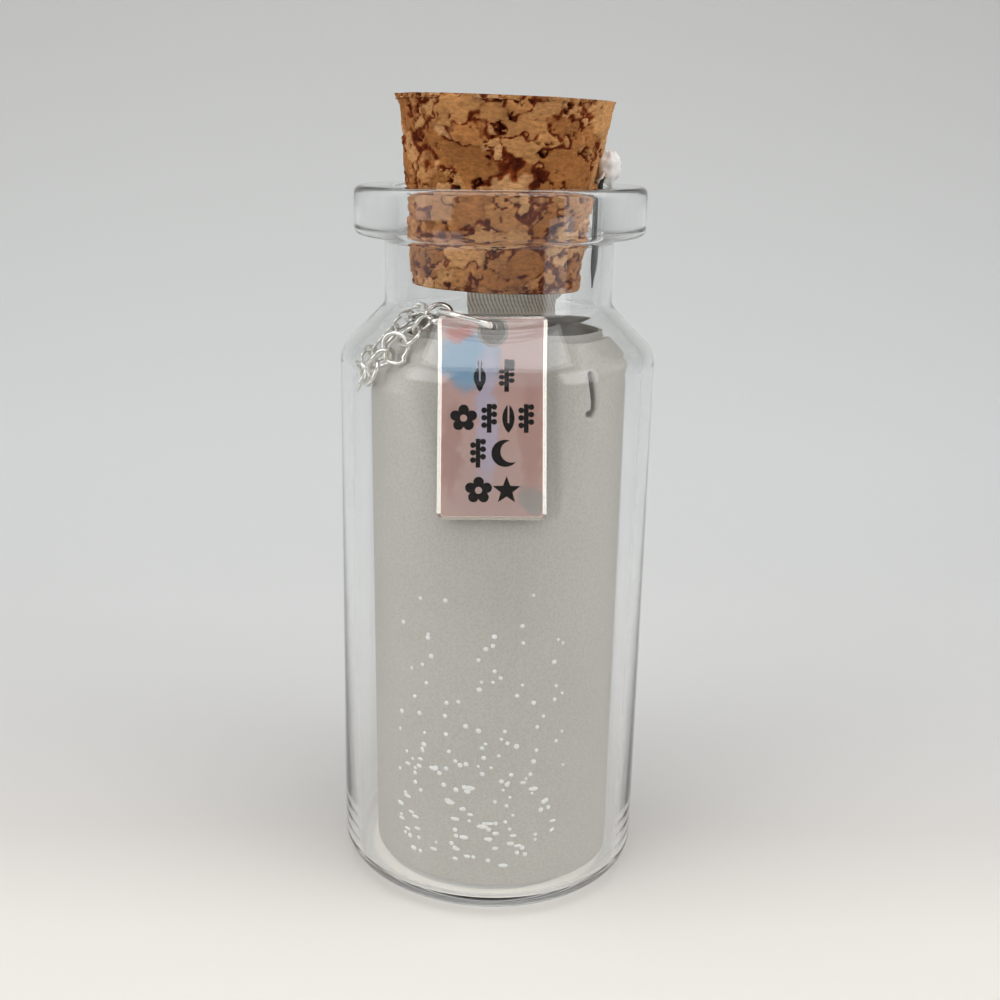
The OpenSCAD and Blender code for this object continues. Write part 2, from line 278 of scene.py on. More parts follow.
class VialGlassSettings(PropertyGroup):
    """Glass of the vial"""
    tint: FloatVectorProperty(
        name="Tint", description="Colour of light that passes through the glass",
        subtype="COLOR", default=linear("#fcfdfd"), min=0, max=1)
    segments: IntProperty(
        name="Segments", description="Flats round the vial", default=192, min=48, max=512)


class VIAL_OT_glass(Operator):
    """Builds the glass vial with smooth walls"""
    bl_idname = "vial.glass"
    bl_label = "Glass Vial"

    def execute(self, context):
        settings = context.scene.vial_glass
        points, faces = lathe(glass_profile(), settings.segments)
        piece = mesh_piece("vial_glass", points, faces, clear_glass(tuple(settings.tint)),
                           "clear_glass")
        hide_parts("bottle")
        return {"FINISHED"}


# Cork

CORK_LEN, CORK_IN, CORK_TOP, CORK_MOUTH, CORK_BOTTOM = 12.6, 6.8, 7.5, 6.6, 5.95
CORK_TILT, CORK_Y = 2.0, -0.15
# Flakes of bark: how many are tried, how far out they lie, and the core that has none
FLAKES, FLAKE_REACH, FLAKE_OUT, CORE_OUT, CORE_UP = 1250, 8.0, 8.5, 4.0, 4.6
# Half sizes of a flake round the cork, into it and up it, and the width of a joint
FLAKE_LONG, FLAKE_DEEP, FLAKE_HIGH, JOINT_W = (1.0, 2.8), 0.8, (0.6, 1.1), 0.15


def wander(points, size, reach, rng):
    """The points, each moved at random by up to one reach and smoothly over one size."""
    return points + reach * np.stack([2 * lumps(points, size, rng, 70) - 1 for _ in range(3)],
                                     -1)


def cork_flakes(points, rng):
    """Shade of the flake of bark at each point, and how far the point is from a joint.

    The flakes lie round the side of the cork, longer than they are high, a few aslant."""
    middles = np.c_[rng.uniform(-FLAKE_REACH, FLAKE_REACH, (FLAKES, 2)),
                    rng.uniform(-CORK_IN - 0.6, CORK_LEN - CORK_IN + 0.6, FLAKES)]
    out = np.hypot(middles[:, 0], middles[:, 1])
    middles = middles[(out < FLAKE_OUT) & ((out > CORE_OUT) | (np.abs(middles[:, 2]) > CORE_UP))]
    count = len(middles)
    sizes = rng.lognormal(0, 0.3, count)
    shape = np.c_[rng.uniform(*FLAKE_LONG, count), np.full(count, FLAKE_DEEP),
                  rng.uniform(*FLAKE_HIGH, count)] * sizes[:, None]
    shades, slants = rng.uniform(0, 1, count), rng.normal(0, 0.4, count)
    best = np.full((2, len(points)), 1e9)
    owner = np.zeros(len(points), int)
    for i, (x, y, _) in enumerate(middles):
        outward = np.array([x, y, 0]) / math.hypot(x, y)
        round_way = np.array([-outward[1], outward[0], 0])
        cos, sin = math.cos(slants[i]), math.sin(slants[i])
        turn = np.stack([cos * round_way + [0, 0, sin], outward,
                         -sin * round_way + [0, 0, cos]], -1)
        away = np.linalg.norm((points - middles[i]) @ turn / shape[i], axis=1)
        first = away < best[0]
        best[1] = np.where(first, best[0], np.minimum(best[1], away))
        best[0] = np.where(first, away, best[0])
        owner[first] = i
    return shades[owner], (best[1] - best[0]) * 0.7


def cork_surface(pit_depth):
    """Points and faces of the cork, the shade of its flakes, and 0 to 1 for joint to flake."""
    rng = np.random.default_rng(RNG_SEED)
    bottom, top = -CORK_IN, CORK_LEN - CORK_IN
    heights = np.linspace(bottom, top, 124)
    radii = np.interp(heights, (bottom, 0, top), (CORK_BOTTOM, CORK_MOUTH, CORK_TOP))
    inner = np.linspace(0, 1, 34)[:-1]
    profile = np.vstack([np.c_[CORK_BOTTOM * inner, np.full(len(inner), bottom)],
                         np.c_[radii, heights],
                         np.c_[CORK_TOP * inner[::-1], np.full(len(inner), top)]])
    points, faces = lathe(profile, 420)
    ragged = wander(wander(points, 0.6, 0.28, rng), 0.15, 0.06, rng)
    shade, off_joint = cork_flakes(ragged, rng)
    shown = rise(lumps(points, 0.7, rng), 0.3, 0.3)
    joint = 1 - (1 - rise(off_joint, 0, JOINT_W)) * (0.35 + 0.6 * shown)
    clusters = lumps(points * [1, 1, 1.5], 0.8, rng)
    crumbs = lumps(points, 0.22, rng)
    near_joint = 1 - rise(off_joint, 0.2, 0.2)
    pits = rise(clusters, 0.88, 0.08) * rise(crumbs, 0.35, 0.15) * near_joint
    sound = np.minimum(joint, 1 - pits)
    radius = np.hypot(points[:, 0], points[:, 1])
    outward = np.c_[points[:, :2] / np.maximum(radius, 1e-6)[:, None], np.zeros(len(points))]
    cap = (np.abs(points[:, 2] - bottom) < 1e-6) | (np.abs(points[:, 2] - top) < 1e-6)
    edge = cap & (radius > np.where(points[:, 2] > 0, CORK_TOP, CORK_BOTTOM) - 1e-3)
    outward[cap & ~edge] = [0, 0, 0]
    outward[cap, 2] = np.sign(points[cap, 2]) * np.where(edge[cap], 0.6, 1)
    inset = 0.02 + (1 - sound) * pit_depth * (0.3 + 0.7 * pits)
    inset += 0.1 * crumbs + 0.3 * (shade * 7 % 1) + edge * (0.05 + 0.1 * clusters)
    points = points - outward * inset[:, None]
    tilt = Matrix.Rotation(math.radians(CORK_TILT), 3, "Y")
    return points @ np.array(tilt).T + [0, CORK_Y, HEIGHT], faces, shade, sound


def granule_cork(light):
    """Agglomerated cork: flakes of bark pressed together, cut, and left unsealed.

    The flakes have a fine grain along them, the open joints and torn pits are dark, and
    the faces are matt."""
    material, tree, shader = blank(
        "Agglomerated Cork", Roughness=0.9, Specular_IOR_Level=0.2)
    shade = add(tree, "Attribute", attribute_name="grain_shade").outputs["Fac"]
    joint = add(tree, "Attribute", attribute_name="grain_joint").outputs["Fac"]
    place = add(tree, "TexCoord").outputs["Object"]
    along = add(tree, "VectorMath", {1: (1, 1, 2.6)}, {0: place},
                operation="MULTIPLY")
    streak = add(tree, "TexNoise", {"Scale": 1 / (0.5 * MM), "Detail": 6.0,
                                    "Roughness": 0.7}, {"Vector": along.outputs[0]})
    speck = add(tree, "TexNoise", {"Scale": 1 / (0.16 * MM), "Detail": 3.0,
                                   "Roughness": 0.6}, {"Vector": place})
    patch = add(tree, "TexNoise", {"Scale": 1 / (2.2 * MM), "Detail": 3.0},
                {"Vector": place})
    bark = add(tree, "ValToRGB", links={0: shade}, stops=(
        (0.0, "#b0713b"), (0.3, "#c5844c"), (0.65, "#d5995f"), (1.0, light)))
    colour = toned(
        tree, bark.outputs[0],
        (streak.outputs["Fac"], 1.0, ((0.32, 0.62), (0.5, 0.98), (0.72, 1.22))),
        (speck.outputs["Fac"], 0.4, ((0.3, 0.62), (0.44, 1.0), (0.75, 1.12))),
        (patch.outputs["Fac"], 0.8, ((0.3, 0.72), (0.65, 1.12))),
        (joint, 1.0, ((0.0, "#633018"), (0.4, "#a4683c"), (0.8, "#ffffff"))))
    tree.links.new(colour, shader.inputs["Base Color"])
    bump = add(tree, "Bump", {"Strength": 0.85, "Distance": 0.18 * MM},
               {"Height": streak.outputs["Fac"]})
    tree.links.new(bump.outputs[0], shader.inputs["Normal"])
    return material


class CorkSettings(PropertyGroup):
    """Cork stopper"""
    light: FloatVectorProperty(
        name="Light Flakes", description="Colour of the palest flakes", subtype="COLOR",
        default=linear("#e6b07a"), min=0, max=1)
    pit_depth: FloatProperty(
        name="Pit Depth", description="Depth of the torn pits", subtype="DISTANCE",
        unit="LENGTH", default=0.4 * MM, min=0, max=0.6 * MM)


class VIAL_OT_cork(Operator):
    """Builds the cork with its flakes, joints and torn pits"""
    bl_idname = "vial.cork"
    bl_label = "Cork Stopper"

    def execute(self, context):
        settings = context.scene.vial_cork
        points, faces, shade, sound = cork_surface(settings.pit_depth / MM)
        piece = mesh_piece("cork_stopper", points, faces, granule_cork(tuple(settings.light)),
                           "cork", "cork", {"grain_shade": shade, "grain_joint": sound})
        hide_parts("cork")
        return {"FINISHED"}


# Paper roll

ROLL_FOOT, ROLL_HEAD = np.array([0.35, 0.4]), np.array([0.1, 0.05])
ROLL_R, CORE_R, RIM_R, PAPER_T, SHEET_RISE, CHAIN_DENT = 9.0, 6.0, 7.7, 0.25, 0.6, 0.95
FREE_EDGE, OUTER_TURN, TURN_IN, SHEET_TURN = -12, 300, 160, 640
CRIMP_H, DENT_TURN, DENT_HALF, DENT_H, BESIDE_TAG = 1.75, 145, 80, 3.4, 0.7
# How far the paper's rim and the tag's head are below the start of the neck
PAPER_DOWN, TAG_DOWN = 2.25, 0.31
PAPER_Z = FLOOR + GAP
PAPER_H = NECK_Z - PAPER_DOWN - PAPER_Z
TAG_X, TAG_W, TAG_H, TAG_T, TAG_LEAN = -0.59, 7.05, 13.3, 0.7, 16
TAG_Z = NECK_Z - TAG_DOWN - TAG_H * math.cos(math.radians(TAG_LEAN))
TAG_Y = -math.sqrt((INNER_R - GAP) ** 2 - (TAG_W / 2 + abs(TAG_X)) ** 2)
SOFT_FOLD = 0.5
# A short hooked crease in the sheet, right of the tag: bearing of each point, and height
CREASE = ((-51.5, 38.1), (-50.3, 37.2), (-49.3, 36.4), (-49.3, 35.8), (-50.6, 35.5),
          (-52.2, 35.55))
# Its depth and width, and the height and distance of the bulge beside it
CREASE_DEPTH, CREASE_W, BULGE, BULGE_OFF = 0.4, 0.2, 0.07, 0.42
# Raised dots: turns of the sheet, height of the first, drop, crowding, radii and thickness
DOT_TURNS, DOT_TOP, DOT_DROP, DOT_CROWD = (48, 128), 27.5, 24.6, 0.42
DOT_RADII, DOT_T, DASH_LONG = (0.11, 0.2), 0.07, (1.4, 2.6)


def behind_tag(z):
    """Where the paper is held behind the back of the tag at a height."""
    lean = math.radians(TAG_LEAN)
    return TAG_Y + (z - TAG_Z) * math.tan(lean) + TAG_T / math.cos(lean) + GAP


def roll_middle(z):
    """X and Y of the roll's axis at each height."""
    return ROLL_FOOT + (ROLL_HEAD - ROLL_FOOT) * ((z - PAPER_Z) / PAPER_H)[..., None]


def crease_depth(bearing, z):
    """Depth of the crease at points of the outer turn."""
    points = np.stack([np.radians(bearing) * ROLL_R, z], -1)
    near = np.full(z.shape, np.inf)
    for (b0, z0), (b1, z1) in zip(CREASE, CREASE[1:]):
        start = np.array([math.radians(b0) * ROLL_R, z0])
        way = np.array([math.radians(b1) * ROLL_R, z1]) - start
        share = np.clip((points - start) @ way / (way @ way), 0, 1)
        near = np.minimum(near, np.linalg.norm(points - start - share[..., None] * way, axis=-1))
    return (CREASE_DEPTH * np.exp(-(near / CREASE_W) ** 2)
            - BULGE * np.exp(-((near - BULGE_OFF) / CREASE_W) ** 2))


def sheet_points(turn, share, side):
    """Points of the sheet at a turn from its free edge, a share of its height, and a side."""
    inward = ease((turn - OUTER_TURN) / TURN_IN)
    z = PAPER_Z + share * (PAPER_H + SHEET_RISE * turn / SHEET_TURN)
    below_rim = PAPER_Z + PAPER_H - z
    crimp = (1 - rise(below_rim, 0, CRIMP_H)) ** 1.5
    dent = (CHAIN_DENT * ease(1.4 * (1 - np.abs(turn - DENT_TURN) / DENT_HALF))
            * ease(1.6 * (1 - below_rim / DENT_H)))
    outer = ROLL_R + (RIM_R - ROLL_R) * crimp - dent
    r = outer + (CORE_R - outer) * inward - PAPER_T / 2 - side * PAPER_T / 2
    r = r - crease_depth(FREE_EDGE - turn, z)
    bearing = np.radians(FREE_EDGE - turn)
    middle = roll_middle(z)
    x = middle[..., 0] + r * np.cos(bearing)
    y = middle[..., 1] + r * np.sin(bearing)
    flat = np.where(turn > 360, behind_tag(z) + PAPER_T + GAP,
                    behind_tag(z) - np.maximum(0, x - TAG_X - TAG_W / 2 - BESIDE_TAG))
    flat = flat + (1 + side) * PAPER_T / 2
    return np.stack([x, (y + flat + np.sqrt((y - flat) ** 2 + SOFT_FOLD ** 2)) / 2, z], -1)


def coated_paper(colour):
    """Coated art paper, rolled dry: matt white with a fine grain, and painted shade in the
    crease.

    A little light comes through it."""
    material, tree, shader = blank("Coated Paper", Roughness=0.62, Specular_IOR_Level=0.35)
    place = add(tree, "TexCoord").outputs["Object"]
    grain = add(tree, "TexVoronoi", {"Scale": 1 / (0.17 * MM)}, {"Vector": place})
    cloud = add(tree, "TexNoise", {"Scale": 1 / (9 * MM), "Detail": 2.0},
                {"Vector": place})
    # Painted shade in the crease, darkest where the crease is deepest
    crease_shade = add(tree, "Attribute", attribute_name="crease_shade")
    tinted = toned(tree, colour,
                   (grain.outputs["Distance"], 1.0, ((0.1, 0.86), (0.6, 1.0))),
                   (cloud.outputs["Fac"], 1.0, ((0.3, 0.95), (0.7, 1.0))),
                   (crease_shade.outputs["Fac"], 1.0, ((0.05, 1.0), (0.5, 0.2))))
    tree.links.new(tinted, shader.inputs["Base Color"])
    bump = add(tree, "Bump", {"Strength": 0.15, "Distance": 0.05 * MM},
               {"Height": grain.outputs["Distance"]})
    tree.links.new(bump.outputs[0], shader.inputs["Normal"])
    through = add(tree, "BsdfTranslucent", links={"Color": tinted})
    mixed = add(tree, "MixShader", {0: 0.18}, {
        1: shader.outputs[0], 2: through.outputs[0]})
    tree.links.new(mixed.outputs[0], tree.nodes["Material Output"].inputs["Surface"])
    return material


def puff_ink():
    """Puff ink, dabbed on and heated until it swells: white, with a soft shine."""
    return blank("White Puff Ink", Base_Color=linear("#fbfaf7"), Roughness=0.45)[0]


def dot_field(count, rng):
    """Small domes and dashes on the outer turn of the sheet, closer together lower down."""
    points, faces = [], []
    dome, dome_faces = lathe([(0, 1), (0.6, 0.8), (0.95, 0.3), (1, -0.6)], 12)
    for _ in range(count):
        drop = rng.uniform(0, 1) ** DOT_CROWD
        turn = rng.uniform(*DOT_TURNS)
        z = DOT_TOP - DOT_DROP * drop
        size = rng.uniform(*DOT_RADII)
        dash = rng.uniform(*DASH_LONG) if rng.uniform() < 0.5 * drop ** 3 else 1
        at = sheet_points(np.array([turn]), np.array([(z - PAPER_Z) / PAPER_H]), -1)[0]
        bearing = math.radians(FREE_EDGE - turn)
        out = np.array([math.cos(bearing), math.sin(bearing), 0])
        axes = np.array([np.cross(out, [0, 0, 1]) * size * dash, [0, 0, size], out * DOT_T])
        faces += [[v + len(points) for v in face] for face in dome_faces]
        points += (dome @ axes + at).tolist()
    return points, faces


class PaperSettings(PropertyGroup):
    """Rolled paper"""
    colour: FloatVectorProperty(
        name="Colour", description="Colour of the paper", subtype="COLOR",
        default=linear("#d9d4cc"), min=0, max=1)
    dots: IntProperty(
        name="Dots", description="Small raised white dots on the front", default=160,
        min=1, max=400)


class VIAL_OT_paper(Operator):
    """Builds the rolled sheet and the small raised dots on its front"""
    bl_idname = "vial.paper"
    bl_label = "Paper Roll"

    def execute(self, context):
        settings = context.scene.vial_paper
        turns = np.r_[np.arange(0, 60, 1.0), np.arange(60, SHEET_TURN + 0.1, 2.5)]
        shares = np.r_[np.linspace(0, 0.86, 24), np.linspace(0.864, 0.97, 30),
                       np.linspace(0.972, 1, 14)]
        t, s = np.meshgrid(turns, shares, indexing="ij")
        # Depth of the crease from 0 to 1, where the paper is darkened as painted shade
        crease_shade = crease_depth(FREE_EDGE - t, PAPER_Z + s * PAPER_H) / CREASE_DEPTH
        rings = both_sides(sheet_points(t, s, -1), sheet_points(t, s, 1))
        paper = mesh_piece("rolled_paper", rings.reshape(-1, 3),
                           sheet_faces(len(turns), len(shares)),
                           coated_paper(tuple(settings.colour)), "paper",
                           layers={"crease_shade": both_sides(crease_shade, crease_shade).ravel()})
        paper.data.set_sharp_from_angle(angle=math.radians(50))
        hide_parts("paper_roll")
        points, faces = dot_field(settings.dots, np.random.default_rng(RNG_SEED + 1))
        mesh_piece("raised_dots", points, faces, puff_ink(), "paper")
        return {"FINISHED"}


# Woven tape

TAPE_W, TAPE_T, TAPE_OUT, TAPE_TAIL = 7.2, 0.25, 2.3, 10.0
TAPE_OFF = GAP + TAPE_T / 2
THROAT_TAPE_R, SHOULDER_TAPE_R = THROAT_ROUND + WALL + TAPE_OFF, SHOULDER_ROUND - WALL - TAPE_OFF
THROAT_END = THROAT_C[1] - THROAT_TAPE_R * math.sqrt(0.5)
SHOULDER_TOP = SHOULDER_C[1] + SHOULDER_TAPE_R * math.sqrt(0.5)
# Height, bearing of the middle, and slant of the cut across the tape
TAPE_ROWS = [
    (HEIGHT + TAPE_OUT, 26, 0), (HEIGHT + TAPE_OUT / 2, 28, 3), (HEIGHT + 0.3, 31, 10),
    (HEIGHT - 0.6, 34, 18), (HEIGHT - 1.36, 38, 25), (HEIGHT - 2.72, 45, 31),
    (HEIGHT - 4.08, 53, 33), (HEIGHT - 5.44, 63, 31), (HEIGHT - 6.8, 72, 22),
    (THROAT_C[1], 76, 10), (THROAT_END + 0.46, 77.5, 3), (THROAT_END, 78, 0),
    (SHOULDER_C[1], 78, 0), (HEIGHT - CORK_IN - TAPE_TAIL, 78, 0)]
TAPE_END_R = 2.4
# Spacing of the slanting ribs and of the picks across them, and width of the thin selvedge
RIB, PICK, SELVEDGE = 0.3, 0.42, 0.15
# The dark thread that hangs beside the cork from the frayed end: X, Y, height and radius
THREAD = [(7.2, 0.6, 51.0, 0.1), (7.05, 0.3, 50.5, 0.12), (6.82, -0.4, 50.05, 0.16),
          (6.74, -0.9, 49.6, 0.22), (6.73, -0.9, 48.6, 0.25), (6.7, -0.9, 47.4, 0.25),
          (6.62, -0.9, 46.2, 0.26), (6.58, -0.9, 45.2, 0.27), (6.54, -0.9, 44.5, 0.22),
          (6.5, -0.9, 43.8, 0.1), (6.48, -0.9, 43.2, 0.05)]
FRAY_MIDDLE, FRAY_SIZE = np.array([7.5, 1.1, 51.15]), np.array([0.85, 0.9, 1.1])


def tape_r(z):
    """Distance of the middle of the tape from the axis: it lies on the glass."""
    throat = THROAT_C[0] - np.sqrt(
        np.maximum(THROAT_TAPE_R ** 2 - (THROAT_C[1] - z) ** 2, 0))
    cone = THROAT_C[0] - THROAT_TAPE_R * math.sqrt(0.5) + THROAT_END - z
    shoulder = SHOULDER_C[0] + np.sqrt(
        np.maximum(SHOULDER_TAPE_R ** 2 - (z - SHOULDER_C[1]) ** 2, 0))
    return np.select(
        [z > THROAT_C[1], z > THROAT_END, z > SHOULDER_TOP, z > SHOULDER_C[1]],
        [BORE_R - TAPE_OFF + 0.65 * np.maximum(0, z - HEIGHT - 0.3), throat, cone, shoulder],
        INNER_R - TAPE_OFF)


def tape_surface():
    """Points and faces of the tape, and 0 to 1 for hollow to crown of its weave."""
    rows = np.array(TAPE_ROWS, float)
    steps = np.hypot(np.diff(rows[:, 0]),
                     np.radians(np.diff(rows[:, 1])) * tape_r(rows[1:, 0]))
    lengths = np.r_[0, np.cumsum(steps)]
    fine = np.linspace(0, lengths[-1], 210)
    rows = np.stack([np.interp(fine, lengths, rows[:, i]) for i in range(3)], 1)
    soft = np.ones(9) / 9
    for column in (1, 2):
        padded = np.pad(rows[:, column], 4, mode="edge")
        rows[:, column] = np.convolve(padded, soft, "valid")
    ends = np.minimum(fine, fine[-1] - fine)
    into_end = np.maximum(0, TAPE_END_R - ends)
    half_w = TAPE_W / 2 - TAPE_END_R + np.sqrt(np.maximum(0, TAPE_END_R ** 2 - into_end ** 2))
    u = np.linspace(-1, 1, 111) * half_w[:, None]
    cut = np.radians(rows[:, 2:3])
    z = rows[:, :1] + u * np.sin(cut)
    bearing = np.radians(rows[:, 1:2]) + u * np.cos(cut) / tape_r(z)
    along = np.repeat(fine[:, None], u.shape[1], 1)
    rib = 0.5 + 0.5 * np.sin(2 * math.pi * (u / RIB + along / (3 * RIB)))
    pick = 0.5 + 0.5 * np.cos(2 * math.pi * along / PICK)
    weave = rib * (0.55 + 0.45 * pick)
    thick = np.sqrt(rise(TAPE_W / 2 - np.abs(u), 0, SELVEDGE))
    half_t = TAPE_T / 2 * (0.55 + 0.45 * thick) - 0.06 * (1 - weave)
    sides = []
    for side in (1, -1):
        r = tape_r(z) + side * half_t
        sides.append(np.stack([r * np.cos(bearing), r * np.sin(bearing), z], -1))
    return (both_sides(*sides).reshape(-1, 3), sheet_faces(len(fine), u.shape[1]),
            both_sides(weave, weave).ravel())


def thread_surface():
    """Points and faces of the dark thread, a tube round its list of places."""
    turns = np.radians(np.arange(0, 360, 30))
    points = [[x + r * math.cos(a), y + r * math.sin(a), z]
              for x, y, z, r in THREAD for a in turns]
    faces = grid_faces(len(THREAD), len(turns), wrap_columns=True)
    faces += [list(range(len(turns))), [len(points) - 1 - k for k in range(len(turns))]]
    return points, faces


def frayed_ball():
    """Points and faces of the frayed end: a ball with coarse and fine lumps."""
    rng = np.random.default_rng(RNG_SEED + 2)
    half_circle = [(math.sin(a), -math.cos(a)) for a in np.linspace(0, math.pi, 24)]
    ball, faces = lathe(half_circle, 36)
    coarse, fine = [lumps(ball, size, rng, 60)[:, None] - 0.5 for size in (0.5, 0.12)]
    return ball * (1 + 0.3 * coarse + 0.12 * fine) * FRAY_SIZE + FRAY_MIDDLE, faces


def woven_cotton(colour):
    """Bleached cotton tape, woven on a narrow loom: matt, with slanting ribs across it.

    Light comes through it. What it passes is added to what it throws back, so that it
    stays pale in the shade of the cork."""
    material, tree, shader = blank("Woven Cotton Tape", Roughness=0.85,
                                   Specular_IOR_Level=0.2, Sheen_Weight=0.25)
    weave = add(tree, "Attribute", attribute_name="weave")
    place = add(tree, "TexCoord").outputs["Object"]
    fluff = add(tree, "TexNoise", {"Scale": 1 / (0.2 * MM), "Detail": 4.0},
                {"Vector": place})
    # The hollows of the weave are darkened: painted shade between the threads
    tinted = toned(tree, colour,
                   (weave.outputs["Fac"], 1.0, ((0.0, 0.42), (0.35, 0.75), (0.7, 1.0))),
                   (fluff.outputs["Fac"], 1.0, ((0.3, 0.78), (0.6, 1.0))))
    tree.links.new(tinted, shader.inputs["Base Color"])
    bump = add(tree, "Bump", {"Strength": 0.4, "Distance": 0.05 * MM},
               {"Height": fluff.outputs["Fac"]})
    tree.links.new(bump.outputs[0], shader.inputs["Normal"])
    passed = add(tree, "Mix", {0: 1.0, 7: (*linear("#b1aca6"), 1)}, {6: tinted},
                 **MULTIPLY)
    glow = add(tree, "BsdfTranslucent", links={
        "Color": passed.outputs[2], "Normal": bump.outputs[0]})
    mixed = add(tree, "AddShader", links={0: shader.outputs[0], 1: glow.outputs[0]})
    tree.links.new(mixed.outputs[0], tree.nodes["Material Output"].inputs["Surface"])
    return material


def thread_finish():
    """A thread, near black and matt."""
    return blank("Dark Thread", Base_Color=linear("#232625"), Roughness=0.8)[0]


def frayed_cotton():
    """Cotton pulled out of its weave: white, and too soft to shine."""
    return blank("Frayed White Cotton", Base_Color=linear("#fcfaf7"), Roughness=1.0)[0]


class TapeSettings(PropertyGroup):
    """Woven tape"""
    colour: FloatVectorProperty(
        name="Colour", description="Colour of the cotton", subtype="COLOR",
        default=linear("#fdfaf4"), min=0, max=1)


class VIAL_OT_tape(Operator):
    """Builds the woven tape between cork and glass, its frayed end and the dark thread"""
    bl_idname = "vial.tape"
    bl_label = "Woven Tape"

    def execute(self, context):
        points, faces, weave = tape_surface()
        cotton = woven_cotton(tuple(context.scene.vial_tape.colour))
        tape = mesh_piece("cotton_tape", points, faces, cotton, "woven_tape",
                          layers={"weave": weave})
        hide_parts("tape")
        mesh_piece("dark_selvedge_thread", *thread_surface(), thread_finish(), "woven_tape")
        end = mesh_piece("frayed_tape_end", *frayed_ball(), frayed_cotton(), "woven_tape")
        end.data.set_sharp_from_angle(angle=math.radians(60))
        return {"FINISHED"}


# Silver tag, jump ring and chain

# Size of the random strays of the painted reflection, and radii of the bare rim of the hole
REFLECTION_STRAY, HOLE_UP, HOLE_BARE, RIM_BARE = 1.6, 12.15, (0.92, 1.06), (0.3, 0.14)
# Patches of the painted reflection: middle across and up, half width, half height, colour and
# share
REFLECTION_PATCHES = (
    (-1.6, 10.4, 2.2, 1.9, "#a0d0f2", 0.95), (-0.35, 6.8, 0.8, 5.0, "#e8def2", 0.9),
    (2.7, 1.3, 1.1, 1.1, "#ccc8c2", 0.85), (-2.2, 12.0, 1.1, 0.5, "#f49384", 0.8),
    (2.5, 5.6, 0.9, 4.0, "#e2b0a5", 0.6), (-2.6, 4.6, 0.8, 3.4, "#dca89e", 0.55))


def tumbled_silver(colour):
    """Sterling silver wire, drawn and tumbled: bright, with soft-edged reflections."""
    material, tree, shader = blank("Tumbled Sterling Silver Wire", Base_Color=colour,
                                   Metallic=1.0, Roughness=0.12)
    place = add(tree, "TexCoord").outputs["Object"]
    wear_and_bare_rim = add(tree, "TexNoise", {"Scale": 1 / (0.5 * MM), "Detail": 3.0},
               {"Vector": place})
    bump = add(tree, "Bump", {"Strength": 0.2, "Distance": 0.02 * MM},
               {"Height": wear_and_bare_rim.outputs["Fac"]})
    tree.links.new(bump.outputs[0], shader.inputs["Normal"])
    return material


def painted_reflection_colour(tree, place, flat):
    """Painted reflection on the tag's face: rose from foot to head, and its patches over that.
    """
    height = add(tree, "SeparateXYZ", links={0: flat}).outputs["Y"]
    share = add(tree, "MapRange", {"From Max": TAG_H * MM}, {0: height})
    # Painted reflection: rose over the face, then patches of other tints
    colour = add(tree, "ValToRGB", links={0: share.outputs[0]}, stops=(
        (0.0, "#f4d2c8"), (0.35, "#f4d0c4"), (0.62, "#f4c8bd"), (0.8, "#f8d8d2"),
        (1.0, "#f4d2ca"))).outputs[0]
    clouds = add(tree, "TexNoise", {"Scale": 1 / (1.1 * MM), "Detail": 4.0},
                 {"Vector": place})
    strays = add(tree, "VectorMath", {1: (REFLECTION_STRAY * MM,) * 3},
                 {0: clouds.outputs["Color"]}, operation="MULTIPLY")
    spread = add(tree, "VectorMath", links={0: flat, 1: strays.outputs[0]})
    for across, up, wide, tall, tint, strength in REFLECTION_PATCHES:
        middle = (-(across + REFLECTION_STRAY / 2) * MM, -(up + REFLECTION_STRAY / 2) * MM, 0)
        offset = add(tree, "VectorMath", {1: middle}, {0: spread.outputs[0]})
        scaled = add(tree, "VectorMath", {1: (1 / (wide * MM), 1 / (tall * MM), 0)},
                     {0: offset.outputs[0]}, operation="MULTIPLY")
        away = add(tree, "VectorMath", links={0: scaled.outputs[0]},
                   operation="LENGTH")
        inside = add(tree, "MapRange", {
            "From Min": 0.55, "From Max": 1.15, "To Min": strength, "To Max": 0.0},
            {0: away.outputs["Value"]}, interpolation_type="SMOOTHSTEP")
        colour = add(tree, "Mix", {7: (*linear(tint), 1)},
                     {0: inside.outputs[0], 6: colour}, data_type="RGBA").outputs[2]
    return colour


def bare_silver_share(tree, flat):
    """Bare silver, without the painted reflection: 1 along the tag's edges and round its hole.
    """
    centred = add(tree, "VectorMath", {1: (0, -TAG_H / 2 * MM, 0)}, {0: flat})
    mirrored = add(tree, "VectorMath", links={0: centred.outputs[0]},
                   operation="ABSOLUTE")
    to_edge = add(tree, "VectorMath",
                  {1: (-TAG_W / 2 * MM, -TAG_H / 2 * MM, 0)}, {0: mirrored.outputs[0]})
    sides = add(tree, "SeparateXYZ", links={0: to_edge.outputs[0]})
    nearest = add(tree, "Math", links={0: sides.outputs["X"], 1: sides.outputs["Y"]},
                  operation="MAXIMUM")
    rim = add(tree, "MapRange", {
        "From Min": -RIM_BARE[0] * MM, "From Max": -RIM_BARE[1] * MM},
        {0: nearest.outputs[0]}, interpolation_type="SMOOTHSTEP")
    hole = add(tree, "VectorMath", {1: (0, -HOLE_UP * MM, 0)}, {0: flat})
    hole_flat = add(tree, "VectorMath", {1: (1, 1, 0)}, {0: hole.outputs[0]},
                    operation="MULTIPLY")
    hole_off = add(tree, "VectorMath", links={0: hole_flat.outputs[0]},
                   operation="LENGTH")
    hole_rim = add(tree, "MapRange", {
        "From Min": HOLE_BARE[0] * MM, "From Max": HOLE_BARE[1] * MM, "To Min": 1.0,
        "To Max": 0.0}, {0: hole_off.outputs["Value"]}, interpolation_type="SMOOTHSTEP")
    return add(tree, "Math", links={0: rim.outputs[0], 1: hole_rim.outputs[0]},
               operation="MAXIMUM").outputs[0]


